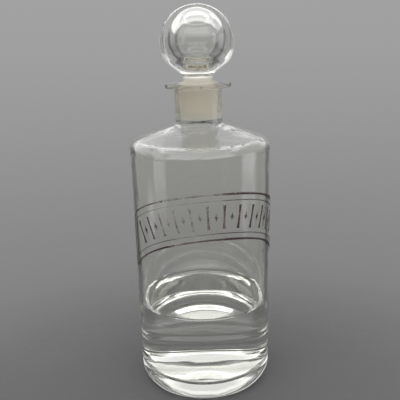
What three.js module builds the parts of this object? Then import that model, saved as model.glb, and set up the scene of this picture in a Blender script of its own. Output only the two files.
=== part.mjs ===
// A clear glass apothecary bottle with a ground ball stopper, part filled with a clear liquid.
// Millimetres, +Z up. The origin is the centre of the foot, on the surface the bottle stands on.
// The front of the bottle, where its enamelled label is read, faces -Y.

import * as THREE from 'three';
import { mergeVertices } from 'three/addons/utils/BufferGeometryUtils.js';

// Body of the bottle. The wall widens a little from the heel to the shoulder, as blown glass does.
const bodyFootRadius = 49.0;
const bodyShoulderRadius = 50.2;
const shoulderEdgeHeight = 176.0;
const shoulderEdgeRadius = 9.6;
const shoulderSlopeDegrees = 18.5;
const wallThickness = 3.0;
const shoulderThickness = 3.2;

// Foot and base. The middle of the base is pushed up to a blunt cone, inside and out, so the bottle
// stands on a flat ring.
const heelHeight = 13.0;
const heelWidth = 9.5;
const innerHeelRadius = 9.0;
const standingRingRadius = 37.0;
const standingRingRound = 2.5;
const pushUpSlopeDegrees = 8.0;
const pushUpTipRadius = 60.0;
const innerFloorHeight = 12.0;

// Neck and lip.
const neckRadius = 16.6;
const neckFilletRadius = 3.4;
const lipTopHeight = 222.3;
const lipRadius = 23.2;
const lipThickness = 2.8;
const lipEdgeRadius = 1.1;
const lipUndersideFilletRadius = 2.2;
const mouthRadius = 14.2;
const mouthRoundRadius = 0.8;
const innerShoulderFilletRadius = 4.0;

// Ground seat, shared by the neck's bore and the stopper's plug. Its radius shrinks going down.
const seatTaper = 0.05;
const seatClearance = 0.3;
const plugLength = 20.5;
const boreRunBelowPlug = 4.0;

// Stopper.
const stopperBallRadius = 25.5;
const ballCentreAboveLip = 27.0;
const stemRadius = 10.0;
const stemTopRise = 2.4;
const stemCornerDrop = 21.2;
const ballFootDegrees = 50.0;
const pinchStartDegrees = 25.0;
const pinchSoftDegrees = 5.0;
const pinchPerDegree = 0.0115;
const plugShoulderRise = 1.6;
const plugEndRound = 1.2;

// Contents.
const liquidLevel = 63.3;
const liquidClearance = 0.3;

// Enamelled label: an arched banner with a thick line round it, a thin line inside that, and a row of
// plain upright bars with a lozenge between each two. Lengths along the arch are measured on the wall.
const labelCentreDegrees = 11.0;
const labelHalfSpanDegrees = 83.0;
const labelArchRadius = 118.0;
const labelArchCentreHeight = 21.5;
const labelBandWidth = 32.0;
const labelOuterLineWidth = 1.5;
const labelInnerLineWidth = 0.6;
const labelInnerLineInset = 4.6;
const enamelThickness = 0.25;
const enamelClearance = 0.3;
const barCount = 12;
const barPitch = 11.0;
const barHeight = 16.0;
const barWidth = 2.2;
const barWaist = 1.5;
const lozengeHeight = 6.0;
const lozengeWidth = 2.6;

// How finely round surfaces are divided.
const bodySegments = 60;
const stopperSegments = 40;
const labelStepDegrees = 5;
const heelSteps = 7;
const edgeSteps = 6;
const filletSteps = 4;
const roundSteps = 3;
const tipSteps = 4;
const ballSteps = 18;

// Points of a profile this close are one point, and so are corners of a solid.
const samePointDistance = 0.01;
const sameCornerDistance = 1e-4;

const glass = new THREE.MeshStandardMaterial({ color: 0xdfe3df, roughness: 0.04, metalness: 0.0 });
const groundGlass = new THREE.MeshStandardMaterial({ color: 0xe4e1d6, roughness: 0.1, metalness: 0.0 });
const liquidColour = new THREE.MeshStandardMaterial({ color: 0xd5dade, roughness: 0.02, metalness: 0.0 });
const enamel = new THREE.MeshStandardMaterial({ color: 0x3a2a29, roughness: 0.5, metalness: 0.0 });

const radians = THREE.MathUtils.degToRad;
const model = new THREE.Group();

// Places a named mesh in the model.
function addPiece(name, geometry, material) {
  const piece = new THREE.Mesh(geometry, material);
  piece.name = name;
  model.add(piece);
  return piece;
}

// Points on an arc in a profile's plane, from one angle to another, both included.
function arc(centreRadius, centreHeight, radius, fromDegrees, toDegrees, steps) {
  const points = [];
  for (let step = 0; step <= steps; step += 1) {
    const angle = radians(fromDegrees + (toDegrees - fromDegrees) * (step / steps));
    points.push(new THREE.Vector2(
      centreRadius + radius * Math.cos(angle),
      centreHeight + radius * Math.sin(angle),
    ));
  }
  return points;
}

// Turns a profile of radius and height round the Z axis. The profile runs up the outside, so that
// the faces point out, and points that coincide are dropped.
function turned(profile, segments) {
  const distinct = profile.filter((point, index) => (
    index === 0 || point.distanceTo(profile[index - 1]) > samePointDistance
  ));
  const lathe = new THREE.LatheGeometry(distinct, segments);
  lathe.rotateX(Math.PI / 2);
  lathe.deleteAttribute('normal');
  lathe.deleteAttribute('uv');
  const closed = mergeVertices(lathe, sameCornerDistance);
  closed.setIndex(withoutFlatTriangles(closed));
  closed.computeVertexNormals();
  return closed;
}

// The triangles of an index that have three different corners.
function withoutFlatTriangles(geometry) {
  const index = geometry.getIndex().array;
  const kept = [];
  for (let start = 0; start < index.length; start += 3) {
    const [a, b, c] = [index[start], index[start + 1], index[start + 2]];
    if (a !== b && b !== c && c !== a) {
      kept.push(a, b, c);
    }
  }
  return kept;
}

// Outer radius of the body's wall at a height.
function wallRadius(height) {
  const share = height / shoulderEdgeHeight;
  return bodyFootRadius + (bodyShoulderRadius - bodyFootRadius) * share;
}

// Radius of the ground seat in the neck at a height, measured on the bore.
function seatRadius(height) {
  return mouthRadius - seatTaper * (lipTopHeight - height);
}

const plugEndHeight = lipTopHeight - plugLength;
const boreEndHeight = plugEndHeight - boreRunBelowPlug;

// The shoulder's edge arc and the start of its cone, this far inside the outer surface.
function shoulderEdge(thickness) {
  const edgeRadius = shoulderEdgeRadius - thickness;
  const edgeCentre = bodyShoulderRadius - shoulderEdgeRadius;
  return arc(edgeCentre, shoulderEdgeHeight, edgeRadius, 0, 90 - shoulderSlopeDegrees, edgeSteps);
}

// The fillet that leads from the shoulder's cone up into a neck or bore of a radius.
function neckFillet(coneStart, radius, filletRadius) {
  const slope = radians(shoulderSlopeDegrees);
  const centre = radius + filletRadius;
  const coneHeight = coneStart.y + (coneStart.x - centre) * Math.tan(slope);
  const height = coneHeight + filletRadius / Math.cos(slope);
  return arc(centre, height, filletRadius, 270 - shoulderSlopeDegrees, 180, filletSteps);
}

// The whole shoulder from the wall up to the neck, outside or inside the glass.
function shoulder(thickness, radius, filletRadius) {
  const edge = shoulderEdge(thickness);
  return [...edge, ...neckFillet(edge[edge.length - 1], radius, filletRadius)];
}

function innerWallRadius(height) {
  return wallRadius(height) - wallThickness;
}

// The pushed-up middle of the base, from the axis out: a round tip, a cone and a round foot.
function pushUp(footCentre, footHeight, footRound) {
  const slope = radians(pushUpSlopeDegrees);
  const footStart = -90 - pushUpSlopeDegrees;
  const foot = arc(footCentre, footHeight + footRound, footRound, footStart, -90, roundSteps);
  const tipEdge = pushUpTipRadius * Math.sin(slope);
  const rise = (foot[0].x - tipEdge) * Math.tan(slope);
  const tipCentre = foot[0].y + rise - pushUpTipRadius * Math.cos(slope);
  const tip = arc(0, tipCentre, pushUpTipRadius, 90, 90 - pushUpSlopeDegrees, tipSteps);
  tip[0].x = 0;
  return [...tip, ...foot];
}

// The inside of the bottle's base, from the axis to the wall, drawn in by a clearance.
function innerBase(clearance) {
  const cornerHeight = innerFloorHeight + innerHeelRadius;
  const cornerCentre = innerWallRadius(cornerHeight) - innerHeelRadius;
  const cornerRound = innerHeelRadius - clearance;
  return [
    ...pushUp(cornerCentre, innerFloorHeight + clearance, cornerRound),
    ...arc(cornerCentre, cornerHeight, cornerRound, -90, 0, edgeSteps),
  ];
}

// Bottle: one blown piece with a pushed-up base, a heel, the wall, the shoulder, the neck and a flat
// lip, open at the mouth, whose bore is ground to a taper for the stopper.
function bottleProfile() {
  const heelCentre = wallRadius(heelHeight) - heelWidth;
  const heel = arc(0, 0, 1, -90, 0, heelSteps).map((point) => (
    new THREE.Vector2(heelCentre + heelWidth * point.x, heelHeight * (1 + point.y))
  ));
  const lipUnderside = lipTopHeight - lipThickness;
  const underLip = arc(
    neckRadius + lipUndersideFilletRadius,
    lipUnderside - lipUndersideFilletRadius,
    lipUndersideFilletRadius,
    180,
    90,
    filletSteps,
  );
  const lipEdge = [
    ...arc(lipRadius - lipEdgeRadius, lipUnderside + lipEdgeRadius, lipEdgeRadius, -90, 0, roundSteps),
    ...arc(lipRadius - lipEdgeRadius, lipTopHeight - lipEdgeRadius, lipEdgeRadius, 0, 90, roundSteps),
  ];
  const mouth = arc(
    mouthRadius + mouthRoundRadius,
    lipTopHeight - mouthRoundRadius,
    mouthRoundRadius,
    90,
    180,
    roundSteps,
  );
  const boreFoot = new THREE.Vector2(seatRadius(boreEndHeight), boreEndHeight);
  return [
    ...pushUp(standingRingRadius, 0, standingRingRound),
    ...heel,
    ...shoulder(0, neckRadius, neckFilletRadius),
    ...underLip,
    ...lipEdge,
    ...mouth,
    boreFoot,
    ...shoulder(shoulderThickness, boreFoot.x, innerShoulderFilletRadius).reverse(),
    ...innerBase(0).reverse(),
  ];
}

addPiece('bottle', turned(bottleProfile(), bodySegments), glass);

// Stopper: one solid piece with a tapered ground plug that sits in the neck, a short stem and a ball.
function stopperProfile() {
  const plugRadius = (height) => seatRadius(height) - seatClearance;
  const plugEnd = arc(
    plugRadius(plugEndHeight) - plugEndRound,
    plugEndHeight + plugEndRound,
    plugEndRound,
    -90,
    0,
    roundSteps,
  );
  const plugTop = new THREE.Vector2(plugRadius(lipTopHeight), lipTopHeight);
  const stemFoot = new THREE.Vector2(stemRadius, lipTopHeight + plugShoulderRise);
  const stemTop = new THREE.Vector2(stemRadius, lipTopHeight + stemTopRise);
  const stemCorner = new THREE.Vector2(stemRadius, lipTopHeight + ballCentreAboveLip - stemCornerDrop);
  const ballFoot = ballOutline(-ballFootDegrees);
  const fillet = new THREE.QuadraticBezierCurve(stemTop, stemCorner, ballFoot).getPoints(filletSteps);
  const ball = [];
  for (let step = 1; step <= ballSteps; step += 1) {
    ball.push(ballOutline(-ballFootDegrees + ((90 + ballFootDegrees) * step) / ballSteps));
  }
  ball[ball.length - 1].x = 0;
  return [
    new THREE.Vector2(0, plugEndHeight),
    ...plugEnd,
    plugTop,
    stemFoot,
    ...fillet,
    ...ball,
  ];
}

// A point of the ball's outline, at an angle up from its middle. Low down the ball is drawn in to the stem.
function ballOutline(degrees) {
  const angle = radians(degrees);
  const below = Math.max(0, -degrees - pinchStartDegrees);
  const pinch = (pinchPerDegree * below * below) / (below + pinchSoftDegrees);
  return new THREE.Vector2(
    stopperBallRadius * Math.cos(angle) * (1 - pinch),
    lipTopHeight + ballCentreAboveLip + stopperBallRadius * Math.sin(angle),
  );
}

addPiece('stopper', turned(stopperProfile(), stopperSegments), groundGlass);

// Contents: the clear liquid that stands in the bottom of the bottle, with a level top.
function liquidProfile() {
  return [
    ...innerBase(liquidClearance),
    new THREE.Vector2(innerWallRadius(liquidLevel) - liquidClearance, liquidLevel),
    new THREE.Vector2(0, liquidLevel),
  ];
}

addPiece('liquid', turned(liquidProfile(), bodySegments), liquidColour);

// A point on the label: an angle from its centre line and a radius from the centre of its arch,
// brought to the wall at a distance from the glass.
function onWall(spanDegrees, archRadius, standOff) {
  const along = radians(spanDegrees) * bodyShoulderRadius;
  const height = labelArchCentreHeight + Math.sqrt(archRadius * archRadius - along * along);
  const radius = wallRadius(height) + standOff;
  const angle = radians(spanDegrees + labelCentreDegrees);
  return new THREE.Vector3(radius * Math.sin(angle), -radius * Math.cos(angle), height);
}

// A closed loop of enamel: a strip between an outer and an inner outline of the same banner.
// Each outline is a list of pairs of an angle and an arch radius, clockwise as the label is read.
function enamelLoop(outerOutline, innerOutline) {
  const inside = enamelClearance;
  const outside = enamelClearance + enamelThickness;
  const rows = [
    outerOutline.map(([span, arch]) => onWall(span, arch, inside)),
    outerOutline.map(([span, arch]) => onWall(span, arch, outside)),
    innerOutline.map(([span, arch]) => onWall(span, arch, outside)),
    innerOutline.map(([span, arch]) => onWall(span, arch, inside)),
  ];
  const positions = rows.flat().flatMap((point) => point.toArray());
  const count = outerOutline.length;
  const index = [];
  for (let row = 0; row < rows.length; row += 1) {
    const nextRow = (row + 1) % rows.length;
    for (let step = 0; step < count; step += 1) {
      const next = (step + 1) % count;
      const [a, b] = [row * count + step, row * count + next];
      const [c, d] = [nextRow * count + next, nextRow * count + step];
      index.push(a, c, b, a, d, c);
    }
  }
  return solidFrom(positions, index);
}

function solidFrom(positions, index) {
  const geometry = new THREE.BufferGeometry();
  geometry.setAttribute('position', new THREE.Float32BufferAttribute(positions, 3));
  geometry.setIndex(index);
  geometry.computeVertexNormals();
  return geometry;
}

// The banner's outline drawn in by an inset, as pairs of an angle and an arch radius.
function bannerOutline(inset) {
  const halfSpan = labelHalfSpanDegrees - THREE.MathUtils.radToDeg(inset / bodyShoulderRadius);
  const topRadius = labelArchRadius + labelBandWidth / 2 - inset;
  const bottomRadius = labelArchRadius - labelBandWidth / 2 + inset;
  const steps = Math.ceil((2 * labelHalfSpanDegrees) / labelStepDegrees);
  const outline = [];
  for (let step = 0; step <= steps; step += 1) {
    outline.push([-halfSpan + (2 * halfSpan * step) / steps, topRadius]);
  }
  for (let step = steps; step >= 0; step -= 1) {
    outline.push([-halfSpan + (2 * halfSpan * step) / steps, bottomRadius]);
  }
  return outline;
}

addPiece(
  'label_outer_line',
  enamelLoop(bannerOutline(0), bannerOutline(labelOuterLineWidth)),
  enamel,
);
addPiece(
  'label_inner_line',
  enamelLoop(
    bannerOutline(labelInnerLineInset),
    bannerOutline(labelInnerLineInset + labelInnerLineWidth),
  ),
  enamel,
);

// A flat mark of enamel laid against the wall, cut from a shape drawn across and up. It stands square to
// the arch, centred on its middle line.
function enamelMark(name, shape, distanceAlong) {
  const turn = distanceAlong / labelArchRadius;
  const spanDegrees = THREE.MathUtils.radToDeg((labelArchRadius * Math.sin(turn)) / bodyShoulderRadius);
  const geometry = new THREE.ExtrudeGeometry(shape, { depth: enamelThickness, bevelEnabled: false });
  const mark = addPiece(name, geometry, enamel);
  mark.position.copy(onWall(spanDegrees, labelArchRadius, enamelClearance));
  const facing = new THREE.Matrix4().makeRotationZ(radians(spanDegrees + labelCentreDegrees));
  const upright = new THREE.Matrix4().makeRotationX(Math.PI / 2);
  const slant = new THREE.Matrix4().makeRotationZ(-turn);
  mark.rotation.setFromRotationMatrix(facing.multiply(upright).multiply(slant));
}

// Outline of an upright bar, waisted in the middle, anticlockwise.
function barShape() {
  const half = barHeight / 2;
  const wide = barWidth / 2;
  const waist = barWaist / 2;
  return new THREE.Shape([
    new THREE.Vector2(-wide, -half),
    new THREE.Vector2(wide, -half),
    new THREE.Vector2(waist, 0),
    new THREE.Vector2(wide, half),
    new THREE.Vector2(-wide, half),
    new THREE.Vector2(-waist, 0),
  ]);
}

function lozengeShape() {
  return new THREE.Shape([
    new THREE.Vector2(0, -lozengeHeight / 2),
    new THREE.Vector2(lozengeWidth / 2, 0),
    new THREE.Vector2(0, lozengeHeight / 2),
    new THREE.Vector2(-lozengeWidth / 2, 0),
  ]);
}

for (let number = 0; number < barCount; number += 1) {
  const along = (number - (barCount - 1) / 2) * barPitch;
  const label = String(number + 1).padStart(2, '0');
  enamelMark(`label_bar_${label}`, barShape(), along);
  if (number < barCount - 1) {
    enamelMark(`label_lozenge_${label}`, lozengeShape(), along + barPitch / 2);
  }
}

export default model;
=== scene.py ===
# A clear glass apothecary bottle with a ground ball stopper, part filled with a clear liquid.
# Metres, +Z up. The bottle's axis is the Z axis, and its front, where the label is read, faces -Y.
import math
import random

import bpy
from mathutils import Matrix, Vector


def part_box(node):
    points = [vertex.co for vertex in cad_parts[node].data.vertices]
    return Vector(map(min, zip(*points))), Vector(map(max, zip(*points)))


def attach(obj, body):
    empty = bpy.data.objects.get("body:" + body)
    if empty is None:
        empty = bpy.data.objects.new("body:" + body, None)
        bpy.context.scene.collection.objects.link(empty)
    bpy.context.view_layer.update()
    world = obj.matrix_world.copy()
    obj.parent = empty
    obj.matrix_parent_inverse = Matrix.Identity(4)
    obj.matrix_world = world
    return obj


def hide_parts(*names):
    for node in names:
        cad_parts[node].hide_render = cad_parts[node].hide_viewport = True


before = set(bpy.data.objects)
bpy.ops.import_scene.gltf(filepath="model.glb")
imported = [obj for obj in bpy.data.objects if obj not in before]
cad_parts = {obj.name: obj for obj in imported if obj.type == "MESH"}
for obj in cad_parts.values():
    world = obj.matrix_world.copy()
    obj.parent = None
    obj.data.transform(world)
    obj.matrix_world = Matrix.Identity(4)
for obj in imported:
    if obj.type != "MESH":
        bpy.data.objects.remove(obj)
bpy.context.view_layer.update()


# Bottle: one piece of blown glass. It was blown in a plain round mould, its base pushed up, its lip
# flattened out with a tool, and the bore of its neck ground to a taper that takes the stopper.
mm = 0.001
foot_radius = 49.0 * mm
shoulder_radius = 50.2 * mm
shoulder_edge_height = 176.0 * mm
shoulder_edge_radius = 9.6 * mm
shoulder_slope = math.radians(18.5)
wall_thickness = 3.0 * mm
shoulder_thickness = 3.2 * mm
heel_height = 13.0 * mm
heel_width = 9.5 * mm
inner_heel_radius = 9.0 * mm
ring_radius = 37.0 * mm
ring_round = 2.5 * mm
push_up_slope = math.radians(8.0)
push_up_tip = 60.0 * mm
floor_low = 12.0 * mm
neck_radius = 16.6 * mm
neck_fillet = 3.4 * mm
inner_neck_fillet = 4.0 * mm
lip_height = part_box("bottle")[1].z
lip_radius = 23.2 * mm
lip_thickness = 2.8 * mm
lip_edge = 1.1 * mm
lip_fillet = 2.2 * mm
mouth_radius = 14.2 * mm
mouth_round = 0.8 * mm
seat_taper = 0.05
plug_end_height = lip_height - 20.5 * mm
bore_end_height = plug_end_height - 4.0 * mm
liquid_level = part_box("liquid")[1].z
meniscus_height = 2.2 * mm
wet_height = liquid_level + meniscus_height
bottle_spacing = 2.5 * mm
bottle_facets = 144
merge_distance = 0.002 * mm


def arc(centre_radius, centre_height, radius, start, end, steps=14):
    """Points of a profile on an arc, as (radius, height), from one angle to another in degrees."""
    angles = [math.radians(start + (end - start) * step / steps) for step in range(steps + 1)]
    return [(centre_radius + radius * math.cos(a), centre_height + radius * math.sin(a)) for a in angles]


def wall_radius(height):
    """The radius of the outside of the wall, which widens a little on its way up."""
    return foot_radius + (shoulder_radius - foot_radius) * height / shoulder_edge_height


def seat_radius(height):
    """The radius of the ground bore, which narrows on its way down."""
    return mouth_radius - seat_taper * (lip_height - height)


def filled_in(outline, spacing):
    """The outline with points added, so that none is further than the spacing from the next."""
    filled = [outline[0]]
    for start, end in zip(outline, outline[1:]):
        length = math.dist(start, end)
        if length < 1e-6:
            continue
        parts = max(1, math.ceil(length / spacing))
        for part in range(1, parts + 1):
            share = part / parts
            filled.append((start[0] + (end[0] - start[0]) * share, start[1] + (end[1] - start[1]) * share))
    return filled


def drawn(name, points):
    """A line of edges through the points, left in edit mode with all of it selected."""
    bpy.ops.object.select_all(action="DESELECT")
    bpy.ops.mesh.primitive_plane_add(size=mm)
    piece = bpy.context.active_object
    piece.name = name
    bpy.ops.object.mode_set(mode="EDIT")
    bpy.ops.mesh.select_all(action="SELECT")
    bpy.ops.mesh.merge(type="CENTER")
    bpy.ops.transform.translate(value=points[0])
    for point, next_point in zip(points, points[1:]):
        move = Vector(next_point) - Vector(point)
        bpy.ops.mesh.extrude_vertices_move(TRANSFORM_OT_translate={"value": move})
    bpy.ops.mesh.select_all(action="SELECT")
    return piece


def spun(name, outline, facets, hollow=False):
    """A closed piece, or a hollow in one, turned from an outline that starts and ends on the axis."""
    piece = drawn(name, [(radius, 0, height) for radius, height in outline])
    bpy.ops.mesh.spin(steps=facets, angle=math.tau, center=(0, 0, 0), axis=(0, 0, 1))
    bpy.ops.mesh.select_all(action="SELECT")
    bpy.ops.mesh.remove_doubles(threshold=merge_distance)
    bpy.ops.mesh.normals_make_consistent(inside=hollow)
    bpy.ops.object.mode_set(mode="OBJECT")
    bpy.ops.object.shade_smooth()
    return piece


def shoulder(thickness, fillet_radius, fillet_centre):
    """The shoulder's edge arc, cone and fillet into the neck, this far inside the outer surface."""
    edge_centre = shoulder_radius - shoulder_edge_radius
    edge = arc(edge_centre, shoulder_edge_height, shoulder_edge_radius - thickness,
               0, 90 - math.degrees(shoulder_slope))
    top_radius, top_height = edge[-1]
    cone_height = top_height + (top_radius - fillet_centre) * math.tan(shoulder_slope)
    fillet_height = cone_height + fillet_radius / math.cos(shoulder_slope)
    return edge + arc(fillet_centre, fillet_height, fillet_radius, 270 - math.degrees(shoulder_slope), 180)


def push_up(radius, height, foot_round):
    """The pushed-up middle of the base, from the axis out: a round tip, a cone and a round foot."""
    slope = math.degrees(push_up_slope)
    foot = arc(radius, height + foot_round, foot_round, -90 - slope, -90, steps=6)
    tip_edge = push_up_tip * math.sin(push_up_slope)
    rise = (foot[0][0] - tip_edge) * math.tan(push_up_slope)
    tip_centre = foot[0][1] + rise - push_up_tip * math.cos(push_up_slope)
    return arc(0, tip_centre, push_up_tip, 90, 90 - slope, steps=8) + foot


def inner_base(clearance=0.0):
    """The inside of the base, from the axis out and up to where the wall begins."""
    corner_height = floor_low + inner_heel_radius
    corner_radius = wall_radius(corner_height) - wall_thickness - inner_heel_radius
    corner_round = inner_heel_radius - clearance
    corner = arc(corner_radius, corner_height, corner_round, -90, 0)
    return push_up(corner_radius, floor_low + clearance, corner_round) + corner


heel_centre = wall_radius(heel_height) - heel_width
bore_end_radius = seat_radius(bore_end_height)
under_lip = lip_height - lip_thickness
outside = push_up(ring_radius, 0, ring_round)
for across, up in arc(0, 0, 1, -90, 0, steps=20):
    outside.append((heel_centre + heel_width * across, heel_height * (1 + up)))
outside += shoulder(0.0, neck_fillet, neck_radius + neck_fillet)
outside += arc(neck_radius + lip_fillet, under_lip - lip_fillet, lip_fillet, 180, 90, steps=8)
outside += arc(lip_radius - lip_edge, under_lip + lip_edge, lip_edge, -90, 0, steps=6)
outside += arc(lip_radius - lip_edge, lip_height - lip_edge, lip_edge, 0, 90, steps=6)
outside += arc(mouth_radius + mouth_round, lip_height - mouth_round, mouth_round, 90, 180, steps=6)
inside = [(bore_end_radius, bore_end_height)]
inside += shoulder(shoulder_thickness, inner_neck_fillet, bore_end_radius + inner_neck_fillet)[::-1]
inside += [(wall_radius(wet_height) - wall_thickness, wet_height)]
inside += inner_base()[::-1]
bottle = spun("bottle_glass", filled_in(outside + inside, bottle_spacing), bottle_facets)

# Blown glass is never quite even: its skin has slow waves, longer one way than the other. This effect
# gives their height, from how many waves stand in a metre round the piece and up it.
waves = bpy.data.node_groups.new("blown_waves", "ShaderNodeTree")
waves.interface.new_socket("Round", in_out="INPUT", socket_type="NodeSocketFloat")
waves.interface.new_socket("Up", in_out="INPUT", socket_type="NodeSocketFloat")
waves.interface.new_socket("Height", in_out="OUTPUT", socket_type="NodeSocketFloat")
nodes, links = waves.nodes, waves.links
asked = nodes.new("NodeGroupInput")
given = nodes.new("NodeGroupOutput")
place = nodes.new("ShaderNodeTexCoord")
density = nodes.new("ShaderNodeCombineXYZ")
links.new(asked.outputs["Round"], density.inputs["X"])
links.new(asked.outputs["Round"], density.inputs["Y"])
links.new(asked.outputs["Up"], density.inputs["Z"])
spread = nodes.new("ShaderNodeVectorMath")
spread.operation = "MULTIPLY"
links.new(place.outputs["Object"], spread.inputs[0])
links.new(density.outputs["Vector"], spread.inputs[1])
swell = nodes.new("ShaderNodeTexNoise")
swell.inputs["Scale"].default_value = 1.0
swell.inputs["Detail"].default_value = 2.0
swell.inputs["Roughness"].default_value = 0.45
links.new(spread.outputs["Vector"], swell.inputs["Vector"])
links.new(swell.outputs["Fac"], given.inputs["Height"])


def glass(name, colour, ratio, waves_round, waves_up, wave_height, roughness=0.0, clearness=1.0):
    """A material with waves in its skin, for one kind of surface of the glass or the liquid."""
    material = bpy.data.materials.new(name)
    material.use_nodes = True
    nodes, links = material.node_tree.nodes, material.node_tree.links
    shader = nodes["Principled BSDF"]
    shader.inputs["Base Color"].default_value = (*colour, 1)
    shader.inputs["Roughness"].default_value = roughness
    shader.inputs["IOR"].default_value = ratio
    shader.inputs["Transmission Weight"].default_value = clearness
    skin = nodes.new("ShaderNodeGroup")
    skin.node_tree = waves
    skin.inputs["Round"].default_value = waves_round
    skin.inputs["Up"].default_value = waves_up
    bump = nodes.new("ShaderNodeBump")
    bump.inputs["Strength"].default_value = 1.0
    bump.inputs["Distance"].default_value = wave_height
    links.new(skin.outputs["Height"], bump.inputs["Height"])
    links.new(bump.outputs["Normal"], shader.inputs["Normal"])
    return material


# The glass is clear, with a faint grey-green cast. Where the liquid wets it, light crosses from glass to
# liquid, so only their ratio bends it. The ground bore is matt and a little yellow with what has dried in
# it, and below the plug, where nothing rubs it, it is still white.
glass_index = 1.52
liquid_index = 1.333
wetted_ratio = glass_index / liquid_index
dry_colour = (0.970, 0.975, 0.945)
wetted_colour = (0.975, 0.980, 0.955)
clear_glass = glass("clear_glass", dry_colour, glass_index, waves_round=60, waves_up=25,
                    wave_height=0.25 * mm)
wetted_wall = glass("wetted_wall", wetted_colour, wetted_ratio, waves_round=40, waves_up=20,
                    wave_height=0.05 * mm)
wetted_base = glass("wetted_base", wetted_colour, wetted_ratio, waves_round=40, waves_up=160,
                    wave_height=0.15 * mm)
ground_glass = glass("ground_glass", (0.990, 0.950, 0.860), glass_index, waves_round=300, waves_up=900,
                     wave_height=0.05 * mm, roughness=0.7, clearness=0.65)
open_ground = glass("open_ground", (0.985, 0.955, 0.885), glass_index, waves_round=300, waves_up=900,
                    wave_height=0.05 * mm, roughness=0.9, clearness=0.5)
shoulder_glass = glass("shoulder_glass", dry_colour, glass_index, waves_round=60, waves_up=200,
                       wave_height=0.45 * mm)
skins = [clear_glass, wetted_wall, ground_glass, shoulder_glass, open_ground, wetted_base]
for skin in skins:
    bottle.data.materials.append(skin)

for face in bottle.data.polygons:
    away = Vector((face.center.x, face.center.y, 0))
    faces_in = face.normal.dot(away) < 0 and face.normal.z > -0.5
    faces_up = face.normal.z > 0.5
    wetted = face.center.z < wet_height and (faces_in or faces_up)
    if wetted and face.center.z < floor_low + inner_heel_radius:
        face.material_index = skins.index(wetted_base)
    elif wetted:
        face.material_index = skins.index(wetted_wall)
    elif faces_in and plug_end_height < face.center.z < lip_height - mouth_round:
        face.material_index = skins.index(ground_glass)
    elif faces_in and bore_end_height < face.center.z < plug_end_height:
        face.material_index = skins.index(open_ground)
    elif shoulder_edge_height < face.center.z < bore_end_height:
        face.material_index = skins.index(shoulder_glass)

# Seeds: tiny bubbles caught in the molten glass and drawn out as it was blown. They lie in the middle of
# the wall, and one larger one sits in the lip, in front.
seed_length = 0.9 * mm
seed_width = 0.5 * mm
seed_count = 14
seed_facets = 12
seed_margin = 6 * mm
seed_depths = (0.35, 0.65)
seed_sizes = (0.5, 1.3)
lip_seed = Vector((2.0, -15.6, -1.5)) * mm
lip_seed_size = 1.7


def copy_of(pattern):
    """A copy of a piece, with its own mesh. The copy alone is selected."""
    bpy.ops.object.select_all(action="DESELECT")
    pattern.select_set(True)
    bpy.context.view_layer.objects.active = pattern
    bpy.ops.object.duplicate()
    return bpy.context.active_object


def join_to(whole, parts):
    """Makes the parts one mesh with the whole."""
    bpy.ops.object.select_all(action="DESELECT")
    for part in parts:
        part.select_set(True)
    whole.select_set(True)
    bpy.context.view_layer.objects.active = whole
    bpy.ops.object.join()


seed_side = arc(0, 0, 1, -90, 90, steps=10)
seed_outline = [(seed_width / 2 * across, seed_length / 2 * up) for across, up in seed_side]
seed = spun("seed", seed_outline, seed_facets, hollow=True)
seed.data.materials.append(clear_glass)
chance = random.Random(3)
seed_places = [(Vector((0, 0, lip_height)) + lip_seed, lip_seed_size)]
for number in range(seed_count):
    height = chance.uniform(wet_height + seed_margin, shoulder_edge_height - seed_margin)
    around = chance.uniform(0, math.tau)
    reach = wall_radius(height) - wall_thickness * chance.uniform(*seed_depths)
    place = Vector((reach * math.cos(around), reach * math.sin(around), height))
    seed_places.append((place, chance.uniform(*seed_sizes)))
seeds = []
for place, size in seed_places:
    copy = copy_of(seed)
    copy.location = place
    copy.scale = (size, size, size)
    bpy.ops.object.transform_apply(location=True, rotation=False, scale=True)
    seeds.append(copy)
bpy.data.objects.remove(seed)
join_to(bottle, seeds)

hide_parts("bottle")
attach(bottle, "bottle_body")


# Contents: a clear liquid with a level top, drawn up a little where it meets the glass.
# It touches the glass all over, so only its top bends light, and its side lets light straight on.
liquid_clearance = 0.02 * mm
meniscus_length = 2.2 * mm
meniscus_step = 0.45 * mm
meniscus_steps = 24
side_depth = 0.1 * mm
liquid_spacing = 3 * mm
liquid_wall = wall_radius(wet_height) - wall_thickness - liquid_clearance
liquid_outline = inner_base(liquid_clearance)
liquid_outline.append((liquid_wall, wet_height))
for step in range(1, meniscus_steps + 1):
    away = meniscus_step * step
    climb = meniscus_height * math.exp(-away / meniscus_length)
    liquid_outline.append((liquid_wall - away, liquid_level + climb))
liquid_outline.append((0, liquid_level))
liquid = spun("clear_liquid", filled_in(liquid_outline, liquid_spacing), bottle_facets)

liquid_surface = glass("liquid_surface", (0.98, 0.985, 0.98), liquid_index, waves_round=30, waves_up=30,
                       wave_height=0.02 * mm)
liquid_side = glass("liquid_side", (1.0, 1.0, 1.0), 1.0, waves_round=30, waves_up=30, wave_height=0.02 * mm)
liquid_skins = [liquid_surface, liquid_side]
for skin in liquid_skins:
    liquid.data.materials.append(skin)
for face in liquid.data.polygons:
    at_the_wall = math.hypot(face.center.x, face.center.y) > liquid_wall - side_depth
    if at_the_wall or face.center.z < liquid_level - mm:
        face.material_index = liquid_skins.index(liquid_side)
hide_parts("liquid")
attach(liquid, "bottle_body")


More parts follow.
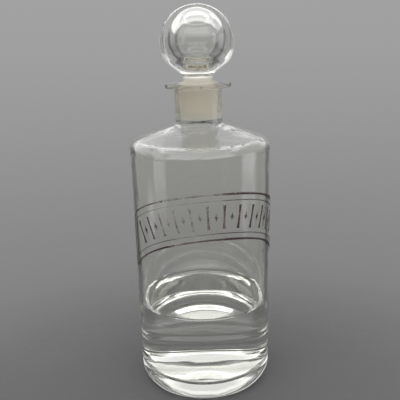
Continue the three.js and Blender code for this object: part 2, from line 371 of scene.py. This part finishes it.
# Stopper: a ball on a short stem and a tapered plug, all one piece of glass. The ball holds a round
# bubble, blown into it while it was hot, and the plug is ground to fit the bore of the neck.
ball_radius = 25.5 * mm
ball_height = lip_height + 27.0 * mm
stem_radius = 10.0 * mm
stem_top_rise = 2.4 * mm
stem_corner_drop = 21.2 * mm
pinch_start = 25
pinch_rate = 0.0115
pinch_soft = 5
ball_foot_angle = 50
stem_foot_rise = 1.6 * mm
plug_clearance = 0.08 * mm
plug_end_round = 1.2 * mm
ground_rise = 4.2 * mm
bubble_radius = 15.6 * mm
bubble_rise = 1.6 * mm
bubble_top = 15.9 * mm
bubble_bottom = 14.8 * mm
bubble_steps = 60
bubble_facets = 96
stopper_spacing = 2 * mm
stopper_facets = 128
plug_end_radius = seat_radius(plug_end_height) - plug_clearance


def ball_outline(degrees):
    """A point of the ball's outline at an angle up from its middle. Low down it is drawn in to the stem."""
    turned = math.radians(degrees)
    below = max(0, -degrees - pinch_start)
    pinch = pinch_rate * below ** 2 / (below + pinch_soft)
    return (ball_radius * math.cos(turned) * (1 - pinch), ball_height + ball_radius * math.sin(turned))


def curve(start, corner, end, steps=8):
    """Points on a curve from start to end that sets off and arrives in line with the corner."""
    points = []
    for step in range(steps + 1):
        share = step / steps
        first = Vector(start).lerp(Vector(corner), share)
        last = Vector(corner).lerp(Vector(end), share)
        points.append(tuple(first.lerp(last, share)))
    return points


stopper_outline = [(0, plug_end_height)]
stopper_outline += arc(plug_end_radius - plug_end_round, plug_end_height + plug_end_round,
                       plug_end_round, -90, 0, steps=6)
stopper_outline += [(seat_radius(lip_height) - plug_clearance, lip_height)]
stopper_outline += [(stem_radius, lip_height + stem_foot_rise)]
stem_top = (stem_radius, lip_height + stem_top_rise)
stem_corner = (stem_radius, ball_height - stem_corner_drop)
stopper_outline += curve(stem_top, stem_corner, ball_outline(-ball_foot_angle))
stopper_outline += [ball_outline(degrees) for degrees in range(2 - ball_foot_angle, 91, 2)]
stopper = spun("ball_stopper", filled_in(stopper_outline, stopper_spacing), stopper_facets)
stopper_skins = [clear_glass, ground_glass]
for skin in stopper_skins:
    stopper.data.materials.append(skin)
for face in stopper.data.polygons:
    if face.center.z < lip_height + ground_rise:
        face.material_index = stopper_skins.index(ground_glass)

bubble_outline = []
for step in range(bubble_steps + 1):
    turned = math.pi * step / bubble_steps
    reach = bubble_bottom if turned < math.pi / 2 else bubble_top
    radius = bubble_radius * math.sin(turned)
    bubble_outline.append((radius, ball_height + bubble_rise - reach * math.cos(turned)))
bubble = spun("bubble", bubble_outline, bubble_facets, hollow=True)
bubble.data.materials.append(clear_glass)
join_to(stopper, [bubble])
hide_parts("stopper")
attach(stopper, "stopper_body")


# Label: an arched banner of purple-brown enamel, painted on the wall by hand and fired on it. A line and a
# thinner line run round it, with upright bars and lozenges between them. Years of handling have worn it
# thin, most of all in the middle, where little more than a shadow is left.
label_centre = math.radians(11.0)
label_half_length = shoulder_radius * math.radians(83.0)
arch_radius = 118.0 * mm
arch_centre_height = 21.5 * mm
band_width = 32.0 * mm
top_corner = 7.0 * mm
low_corner = 2.5 * mm
outer_line_width = 1.3 * mm
inner_line_inset = 4.6 * mm
inner_line_width = 0.5 * mm
heavier_right = 0.25
unevenness = 0.12
uneven_length = 7 * mm
bar_count = 12
bar_pitch = 11.0 * mm
bar_height = 16.0 * mm
bar_width = 2.2 * mm
bar_waist = 1.3 * mm
bar_steps = 12
lozenge_height = 6.0 * mm
lozenge_width = 2.6 * mm
lozenge_pinch = 0.22
lozenge_steps = 16
enamel_gap = 0.02 * mm
enamel_thickness = 0.15 * mm
enamel_edge = 0.3 * enamel_thickness
wear_middle = Vector((-12.0, -49.0, 150.0)) * mm
worn_within = 8 * mm
whole_beyond = 52 * mm
noise_share = 0.9
fleck_density = 700.0
rubbing_density = 110.0
grain_depth = 0.05 * mm
rubbed_brown = (0.150, 0.085, 0.080, 1)
whole_brown = (0.035, 0.018, 0.020, 1)


def banner(inset):
    """Points round the banner this far inside its edge, as (distance across, distance over its middle)."""
    half_length = label_half_length - inset
    half_width = band_width / 2 - inset
    high = max(top_corner - inset, 2 * mm)
    low = max(low_corner - inset, mm)
    points = arc(half_length - high, half_width - high, high, 0, 90, steps=8)
    points += arc(high - half_length, half_width - high, high, 90, 180, steps=8)
    points += arc(low - half_length, low - half_width, low, 180, 270, steps=5)
    points += arc(half_length - low, low - half_width, low, 270, 360, steps=5)
    return filled_in(points + points[:1], 2 * mm)


def thickened():
    """Gives the flat enamel that is selected in edit mode its thickness and a soft edge."""
    bpy.ops.mesh.extrude_region_move(TRANSFORM_OT_translate={"value": (0, 0, enamel_thickness)})
    bpy.ops.mesh.select_all(action="SELECT")
    bpy.ops.mesh.normals_make_consistent(inside=False)
    bpy.ops.object.mode_set(mode="OBJECT")
    edge = bpy.context.active_object.modifiers.new("edge", "BEVEL")
    edge.width = enamel_edge
    edge.segments = 2
    bpy.ops.object.modifier_apply(modifier=edge.name)
    bpy.ops.object.shade_smooth_by_angle(angle=math.radians(40))


def painted_line(name, inset, width):
    """A line of enamel painted round the banner, drawn flat, a little uneven and heavier to the right."""
    middle = banner(inset + width / 2)[:-1]
    edges = []
    for side in (-0.5, 0.5):
        edge = []
        for index, (across, over) in enumerate(middle):
            before, after = middle[index - 1], middle[(index + 1) % len(middle)]
            run = Vector((after[0] - before[0], after[1] - before[1])).normalized()
            heavier = heavier_right * across / label_half_length
            uneven = unevenness * math.sin(across / uneven_length)
            reach = side * width * (1 + heavier + uneven)
            far = across + run.y * reach
            arch = arch_radius + over - run.x * reach
            edge.append((far, arch_centre_height + math.sqrt(arch ** 2 - far ** 2), 0))
        edges.append(drawn(name, edge + edge[:1]))
        bpy.ops.object.mode_set(mode="OBJECT")
    edges[0].select_set(True)
    bpy.ops.object.join()
    bpy.ops.object.mode_set(mode="EDIT")
    bpy.ops.mesh.select_all(action="SELECT")
    bpy.ops.mesh.remove_doubles(threshold=merge_distance)
    bpy.ops.mesh.bridge_edge_loops()
    bpy.ops.mesh.select_all(action="SELECT")
    thickened()
    return bpy.context.active_object


def painted_mark(name, outline):
    """A mark of enamel with a closed outline of (across, up), drawn flat round the origin."""
    mark = drawn(name, [(across, up, 0) for across, up in outline + outline[:1]])
    bpy.ops.mesh.remove_doubles(threshold=merge_distance)
    bpy.ops.mesh.edge_face_add()
    thickened()
    return mark


def laid_on_wall(piece, node):
    """Lays enamel drawn flat, as distance across, height and thickness, round the wall of the bottle."""
    for vertex in piece.data.vertices:
        across, height, proud = vertex.co
        around = across / shoulder_radius + label_centre
        radius = wall_radius(height) + enamel_gap + proud
        vertex.co = (radius * math.sin(around), -radius * math.cos(around), height)
    piece.data.materials.append(worn_enamel)
    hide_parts(node)
    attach(piece, "bottle_body")


def set_on_arch(mark, name, along):
    """A copy of a mark, square to the arch of the label at a distance along its middle line."""
    copy = copy_of(mark)
    copy.name = name
    turn = along / arch_radius
    copy.location = (arch_radius * math.sin(turn), arch_centre_height + arch_radius * math.cos(turn), 0)
    copy.rotation_euler.z = -turn
    bpy.ops.object.transform_apply(location=True, rotation=True, scale=False)
    return copy


# The enamel is thin and brown where it is rubbed, nearly black where it is whole, and gone in flecks.
worn_enamel = bpy.data.materials.new("worn_enamel")
worn_enamel.use_nodes = True
nodes, links = worn_enamel.node_tree.nodes, worn_enamel.node_tree.links
shader = nodes["Principled BSDF"]
place = nodes.new("ShaderNodeTexCoord")
flecks = nodes.new("ShaderNodeTexNoise")
flecks.inputs["Scale"].default_value = fleck_density
flecks.inputs["Detail"].default_value = 4.0
links.new(place.outputs["Object"], flecks.inputs["Vector"])
rubbing = nodes.new("ShaderNodeTexNoise")
rubbing.inputs["Scale"].default_value = rubbing_density
rubbing.inputs["Detail"].default_value = 2.0
links.new(place.outputs["Object"], rubbing.inputs["Vector"])
distance = nodes.new("ShaderNodeVectorMath")
distance.operation = "DISTANCE"
distance.inputs[1].default_value = wear_middle
links.new(place.outputs["Object"], distance.inputs[0])
whole = nodes.new("ShaderNodeMapRange")
whole.interpolation_type = "SMOOTHSTEP"
whole.inputs["From Min"].default_value = worn_within
whole.inputs["From Max"].default_value = whole_beyond
whole.inputs["To Min"].default_value = -0.6
whole.inputs["To Max"].default_value = 0.05
links.new(distance.outputs["Value"], whole.inputs["Value"])
left = whole.outputs["Result"]
for noise in (flecks, rubbing):
    part = nodes.new("ShaderNodeMath")
    part.operation = "MULTIPLY_ADD"
    part.inputs[1].default_value = noise_share
    links.new(noise.outputs["Fac"], part.inputs[0])
    links.new(left, part.inputs[2])
    left = part.outputs["Value"]
cover = nodes.new("ShaderNodeMapRange")
cover.inputs["From Min"].default_value = 0.25
cover.inputs["From Max"].default_value = 0.95
links.new(left, cover.inputs["Value"])
links.new(cover.outputs["Result"], shader.inputs["Alpha"])
colour = nodes.new("ShaderNodeMix")
colour.data_type = "RGBA"
colour.inputs["A"].default_value = rubbed_brown
colour.inputs["B"].default_value = whole_brown
links.new(cover.outputs["Result"], colour.inputs["Factor"])
links.new(colour.outputs["Result"], shader.inputs["Base Color"])
shader.inputs["Roughness"].default_value = 0.45
grain = nodes.new("ShaderNodeBump")
grain.inputs["Distance"].default_value = grain_depth
links.new(flecks.outputs["Fac"], grain.inputs["Height"])
links.new(grain.outputs["Normal"], shader.inputs["Normal"])

laid_on_wall(painted_line("enamel_outer_line", 0.0, outer_line_width), "label_outer_line")
laid_on_wall(painted_line("enamel_inner_line", inner_line_inset, inner_line_width), "label_inner_line")

bar_side = []
for step in range(bar_steps + 1):
    up = bar_height * (step / bar_steps - 0.5)
    half_width = (bar_waist + (bar_width - bar_waist) * abs(2 * up / bar_height) ** 2.5) / 2
    bar_side.append((half_width, up))
bar = painted_mark("enamel_bar", bar_side + [(-half_width, up) for half_width, up in bar_side[::-1]])
lozenge_outline = []
for step in range(lozenge_steps):
    turned = math.tau * step / lozenge_steps
    pinch = 1 - lozenge_pinch * math.sin(2 * turned) ** 2
    size = pinch / (abs(math.cos(turned)) + abs(math.sin(turned)))
    lozenge_outline.append((lozenge_width / 2 * size * math.cos(turned),
                            lozenge_height / 2 * size * math.sin(turned)))
lozenge = painted_mark("enamel_lozenge", lozenge_outline)
for number in range(bar_count):
    along = (number - (bar_count - 1) / 2) * bar_pitch
    laid_on_wall(set_on_arch(bar, f"enamel_bar_{number + 1:02d}", along), f"label_bar_{number + 1:02d}")
    if number < bar_count - 1:
        copy = set_on_arch(lozenge, f"enamel_lozenge_{number + 1:02d}", along + bar_pitch / 2)
        laid_on_wall(copy, f"label_lozenge_{number + 1:02d}")
for pattern in (bar, lozenge):
    bpy.data.objects.remove(pattern)


# Room: a plain grey table top that fades into a paler backdrop, under a soft white ceiling with a ring of
# brighter lamps. The table shows dark round and in front of the bottle, which is painted shade. White
# screens stand behind the bottle, beside it and in front of it, out of view.
floor_radius = 0.8
painted_shade_middle = (0, -0.15, 0)
painted_shade_start = 0.13
painted_shade_end = 0.42
dark_paint = (0.118, 0.118, 0.118, 1)
pale_paint = (0.140, 0.140, 0.140, 1)
bpy.ops.object.select_all(action="DESELECT")
bpy.ops.mesh.primitive_circle_add(vertices=96, radius=floor_radius, fill_type="NGON")
floor = bpy.context.active_object
floor.name = "table_top"
table_paint_and_shade = bpy.data.materials.new("table_paint_and_shade")
table_paint_and_shade.use_nodes = True
nodes, links = table_paint_and_shade.node_tree.nodes, table_paint_and_shade.node_tree.links
shader = nodes["Principled BSDF"]
place = nodes.new("ShaderNodeTexCoord")
mottle = nodes.new("ShaderNodeTexNoise")
mottle.inputs["Scale"].default_value = 9.0
mottle.inputs["Detail"].default_value = 5.0
links.new(place.outputs["Object"], mottle.inputs["Vector"])
paint = nodes.new("ShaderNodeMix")
paint.data_type = "RGBA"
paint.inputs["A"].default_value = dark_paint
paint.inputs["B"].default_value = pale_paint
links.new(mottle.outputs["Fac"], paint.inputs["Factor"])
links.new(paint.outputs["Result"], shader.inputs["Base Color"])
# Painted shade: the table is opaque near a point in front of the bottle and clear further out, so it shows
# dark there and fades into the paler backdrop.
distance = nodes.new("ShaderNodeVectorMath")
distance.operation = "DISTANCE"
distance.inputs[1].default_value = painted_shade_middle
links.new(place.outputs["Object"], distance.inputs[0])
painted_shade_fade = nodes.new("ShaderNodeMapRange")
painted_shade_fade.interpolation_type = "SMOOTHERSTEP"
painted_shade_fade.inputs["From Min"].default_value = painted_shade_start
painted_shade_fade.inputs["From Max"].default_value = painted_shade_end
painted_shade_fade.inputs["To Min"].default_value = 1.0
painted_shade_fade.inputs["To Max"].default_value = 0.0
links.new(distance.outputs["Value"], painted_shade_fade.inputs["Value"])
links.new(painted_shade_fade.outputs["Result"], shader.inputs["Alpha"])
shader.inputs["Roughness"].default_value = 0.9
shader.inputs["Specular IOR Level"].default_value = 0.1
floor.data.materials.append(table_paint_and_shade)

world = bpy.data.worlds.new("room")
bpy.context.scene.world = world
world.use_nodes = True
nodes, links = world.node_tree.nodes, world.node_tree.links
background = nodes["Background"]
place = nodes.new("ShaderNodeTexCoord")
axes = nodes.new("ShaderNodeSeparateXYZ")
links.new(place.outputs["Generated"], axes.inputs["Vector"])


def ramp(value, low, high, level=1.0, falling=False):
    """A number that rises smoothly from 0 to a level between two values, or falls from it."""
    step = nodes.new("ShaderNodeMapRange")
    step.interpolation_type = "SMOOTHSTEP"
    step.inputs["From Min"].default_value = low
    step.inputs["From Max"].default_value = high
    step.inputs["To Min"].default_value = level if falling else 0.0
    step.inputs["To Max"].default_value = 0.0 if falling else level
    links.new(value, step.inputs["Value"])
    return step.outputs["Result"]


def combined(operation, first, second=None):
    """What a Math node makes of one or two numbers, plain or from other nodes."""
    node = nodes.new("ShaderNodeMath")
    node.operation = operation
    for value, socket in zip((first, second), node.inputs):
        if isinstance(value, (int, float)):
            socket.default_value = value
        elif value is not None:
            links.new(value, socket)
    return node.outputs["Value"]


def screen(left, right, bottom, top, level, soft=0.15):
    """A soft-edged white screen, between two turns and two heights."""
    from_left = ramp(turn, left, left + soft)
    from_right = ramp(turn, right - soft, right, falling=True)
    from_below = ramp(height, bottom, bottom + soft)
    from_above = ramp(height, top - soft, top, falling=True)
    sides = combined("MULTIPLY", from_left, from_right)
    ends = combined("MULTIPLY", from_below, from_above)
    return combined("MULTIPLY", combined("MULTIPLY", sides, ends), level)


# A turn is in radians from straight behind the bottle, positive to the right. A height is the sine of the
# angle up. The ceiling is dimmer low down to the sides and in front, and in a level band at the back.
turn = combined("ARCTAN2", axes.outputs["X"], axes.outputs["Y"])
across = combined("ABSOLUTE", turn)
height = axes.outputs["Z"]
side_drop = combined("MULTIPLY", ramp(across, 0.5, 1.0, 0.35), ramp(height, 0.6, 0.9, falling=True))
band = combined("MULTIPLY", ramp(height, 0.35, 0.45), ramp(height, 0.62, 0.72, falling=True))
back_drop = combined("MULTIPLY", ramp(across, 0.6, 1.2, 0.2, falling=True), band)
dimmed = combined("ADD", side_drop, back_drop)
ceiling = combined("MULTIPLY", ramp(height, 0.14, 0.28), combined("SUBTRACT", 1.0, dimmed))
lamp_level = 2.4
lamps = combined("MULTIPLY", ramp(height, 0.76, 0.78), ramp(height, 0.84, 0.86, lamp_level, falling=True))
lights = combined("MAXIMUM", ceiling, lamps)
screens = [
    screen(left=-1.5, right=-0.3, bottom=0.1, top=0.7, level=1.1),
    screen(left=0.3, right=0.85, bottom=0.1, top=0.7, level=1.1),
    screen(left=-1.75, right=-1.35, bottom=-0.4, top=-0.18, level=1.6),
    screen(left=1.3, right=2.0, bottom=-0.34, top=0.4, level=1.6),
    screen(left=-3.3, right=-2.0, bottom=0.2, top=0.8, level=2.2),
    screen(left=2.0, right=3.3, bottom=0.2, top=0.8, level=2.2),
]
for light in screens:
    lights = combined("MAXIMUM", lights, light)

# The room is darker low down beside the backdrop, which the edges of the glass show. The camera itself sees
# only the backdrop, which is paler higher up; its darker lower part is painted shade.
backdrop_level = 0.22
backdrop_shade_rise = 0.14
backdrop = combined("ADD", ramp(height, -0.5, 0.1, backdrop_shade_rise), backdrop_level)
beside = combined("MULTIPLY", ramp(across, 0.45, 0.50), ramp(across, 0.75, 0.85, 0.55, falling=True))
gap = combined("MULTIPLY", beside, ramp(height, 0.04, 0.12, falling=True))
room = combined("MULTIPLY", backdrop, combined("SUBTRACT", 1.0, gap))
level = combined("MAXIMUM", lights, room)
rays = nodes.new("ShaderNodeLightPath")
seen = nodes.new("ShaderNodeMix")
links.new(rays.outputs["Is Camera Ray"], seen.inputs["Factor"])
links.new(level, seen.inputs["A"])
links.new(backdrop, seen.inputs["B"])
links.new(seen.outputs["Result"], background.inputs["Strength"])
background.inputs["Color"].default_value = (1, 1, 1, 1)

# The camera stands level with the ball and looks down a little. Its frame is the photograph's, in pixels.
camera_distance = 399.65 * mm
camera_height = 249.87 * mm
pitch = math.radians(15.35)
yaw = math.radians(0.12)
roll = math.radians(-1.61)
frame_width = 400
focal_length = 566.07
frame_shift = -2.9
sensor_width = 36
bpy.ops.object.camera_add(location=(0, -camera_distance, camera_height))
camera = bpy.context.active_object
upright = Matrix.Rotation(math.radians(90) - pitch, 4, "X")
turned_camera = Matrix.Rotation(yaw, 4, "Z") @ upright @ Matrix.Rotation(roll, 4, "Z")
camera.matrix_world = Matrix.Translation(camera.location) @ turned_camera
camera.data.sensor_width = sensor_width
camera.data.lens = sensor_width * focal_length / frame_width
camera.data.shift_y = frame_shift / frame_width
camera.data.clip_start = 0.01
bpy.context.scene.camera = camera

scene = bpy.context.scene
scene.view_settings.view_transform = "Standard"
scene.cycles.max_bounces = 32
scene.cycles.transmission_bounces = 32
scene.cycles.glossy_bounces = 16
scene.cycles.transparent_max_bounces = 32
